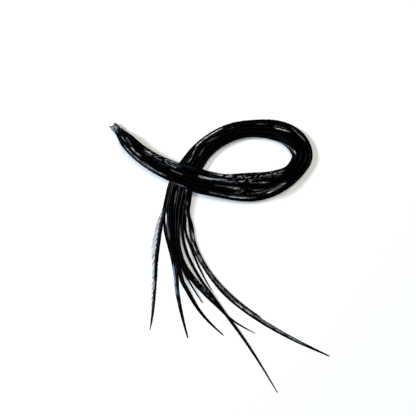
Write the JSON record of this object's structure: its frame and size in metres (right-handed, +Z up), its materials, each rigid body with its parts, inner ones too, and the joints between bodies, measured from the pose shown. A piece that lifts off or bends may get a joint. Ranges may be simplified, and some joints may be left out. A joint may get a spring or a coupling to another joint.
{
  "type": "ostrich feather bunch",
  "caption": "Bunch of long black-dyed ostrich feathers trimmed to narrow blades, tied with thread at the quill ends and laid flat in one loop with fanned tips.",
  "frame": {"origin": "on the surface the bunch lies on, under the middle of its box", "axes": "+Z up from the surface, +Y from the fanned tips towards the top of the loop, +X towards the far bend of the loop"},
  "size_m": [0.1546, 0.1916, 0.0102],
  "materials": {
    "dyed_feather": "satin black dye on keratin, glossy along the shaft",
    "glued_thread": "grey cotton thread stiffened with clear glue"
  },
  "bodies": {
    "root": {"feather_01": "dyed_feather", "feather_02": "dyed_feather", "feather_03": "dyed_feather", "feather_04": "dyed_feather", "feather_05": "dyed_feather", "feather_06": "dyed_feather", "feather_07": "dyed_feather", "feather_08": "dyed_feather", "feather_09": "dyed_feather", "feather_10": "dyed_feather", "feather_11": "dyed_feather", "feather_12": "dyed_feather", "feather_13": "dyed_feather", "feather_14": "dyed_feather", "feather_15": "dyed_feather", "feather_16": "dyed_feather", "thread_binding": "glued_thread"}
  },
  "joints": []
}
